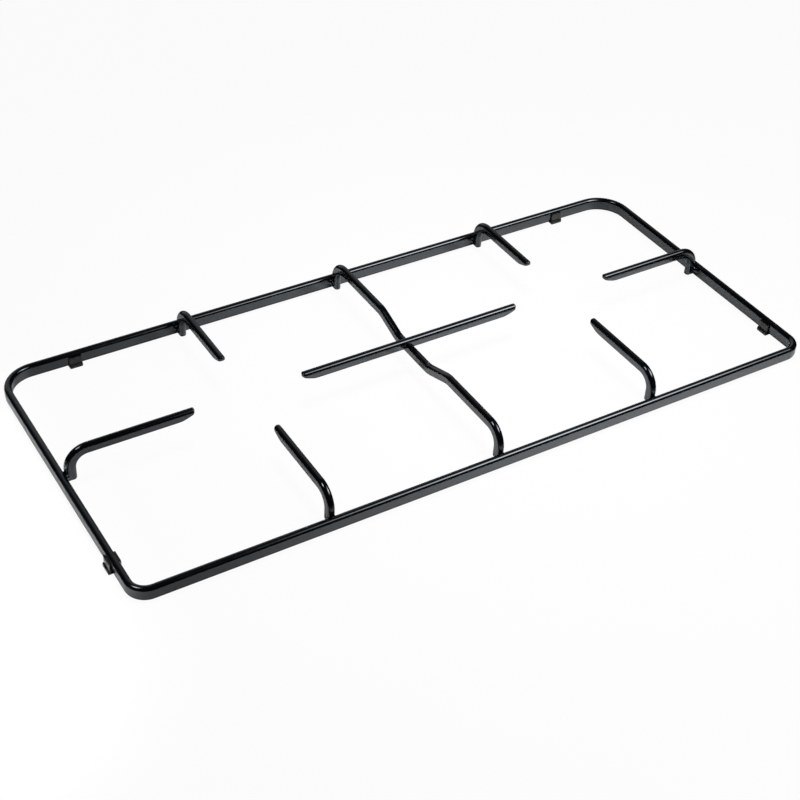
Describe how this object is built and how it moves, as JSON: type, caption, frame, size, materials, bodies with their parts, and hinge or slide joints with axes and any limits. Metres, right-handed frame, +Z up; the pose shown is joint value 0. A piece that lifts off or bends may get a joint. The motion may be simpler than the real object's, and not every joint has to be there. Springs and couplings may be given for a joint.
{
  "type": "hob pan support",
  "caption": "Black enamelled pan support for a gas hob: a round-cornered frame of flat bar with raised fingers, a cross bar and a long bar, on clip-on rubber feet.",
  "frame": {"origin": "under the middle of the frame, on the surface that the feet stand on", "axes": "+X along the frame's length, +Y towards the rear rail, +Z up to the pans"},
  "size_m": [0.4844, 0.2191, 0.0265],
  "materials": {
    "enamel": "glossy black vitreous enamel on steel",
    "rubber": "dull black moulded rubber"
  },
  "bodies": {
    "root": {"outer_frame": "enamel", "cross_bar": "enamel", "long_bar": "enamel", "left_finger": "enamel", "right_finger": "enamel", "rear_left_finger": "enamel", "rear_right_finger": "enamel", "front_left_finger": "enamel", "front_right_finger": "enamel", "rear_left_foot": "rubber", "rear_right_foot": "rubber", "front_left_foot": "rubber", "front_right_foot": "rubber"}
  },
  "joints": []
}
